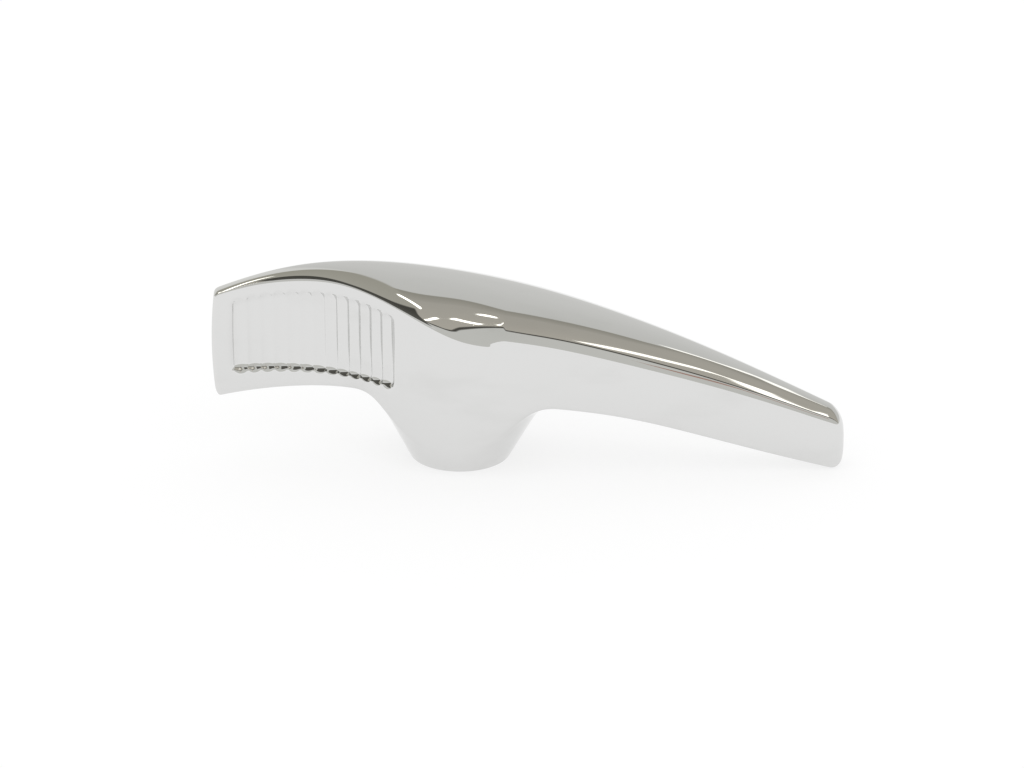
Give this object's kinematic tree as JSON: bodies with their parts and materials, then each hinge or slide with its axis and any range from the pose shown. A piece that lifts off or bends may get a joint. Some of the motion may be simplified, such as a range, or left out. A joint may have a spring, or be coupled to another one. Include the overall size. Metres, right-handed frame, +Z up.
{
  "type": "seat adjustment lever",
  "caption": "Chrome-plated cast lever with a long drooping arm, a short arm with a ribbed finger pad and a flared hub with a serrated shaft socket.",
  "frame": {"origin": "centre of the hub's flat end face, on the axis of the shaft", "axes": "+Z up the hub axis, away from the shaft; +X along the long arm; the ribbed finger pad faces -Y"},
  "size_m": [0.1161, 0.0239, 0.0359],
  "materials": {
    "plating": "bright polished chrome plate on a zinc casting"
  },
  "bodies": {
    "root": {"lever": "plating"}
  },
  "joints": []
}
